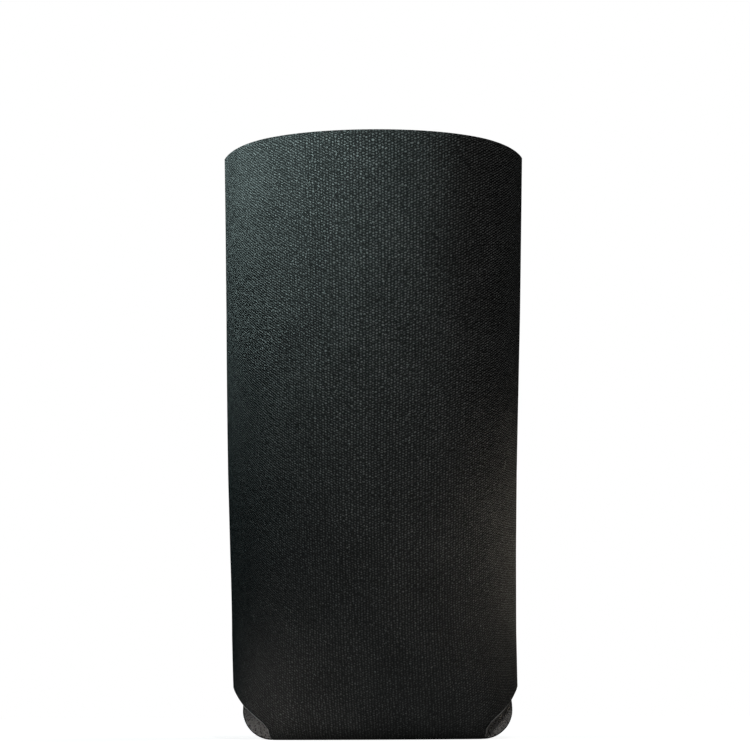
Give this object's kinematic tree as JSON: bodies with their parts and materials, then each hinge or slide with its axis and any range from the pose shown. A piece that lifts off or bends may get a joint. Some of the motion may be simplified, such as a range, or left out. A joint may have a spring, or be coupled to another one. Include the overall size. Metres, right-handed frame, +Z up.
{
  "type": "can cooler sleeve",
  "caption": "Soft foam sleeve for a slim drinks can: one folded sheet, knit outside, zigzag-stitched down both sides, with an open top and a flat base.",
  "frame": {"origin": "middle of the underside, at the height of the face that the sleeve stands on", "axes": "+Z up, out of the open top; +X towards the right side seam; -Y towards the front panel"},
  "size_m": [0.0688, 0.0644, 0.132],
  "materials": {
    "black_knit_on_foam": "matt black polyester knit bonded to dark grey open-cell foam",
    "black_thread": "twisted black polyester sewing thread, slight sheen"
  },
  "bodies": {
    "root": {"foam_sheet": "black_knit_on_foam", "left_needle_thread": "black_thread", "left_bobbin_thread": "black_thread", "right_needle_thread": "black_thread", "right_bobbin_thread": "black_thread"}
  },
  "joints": []
}
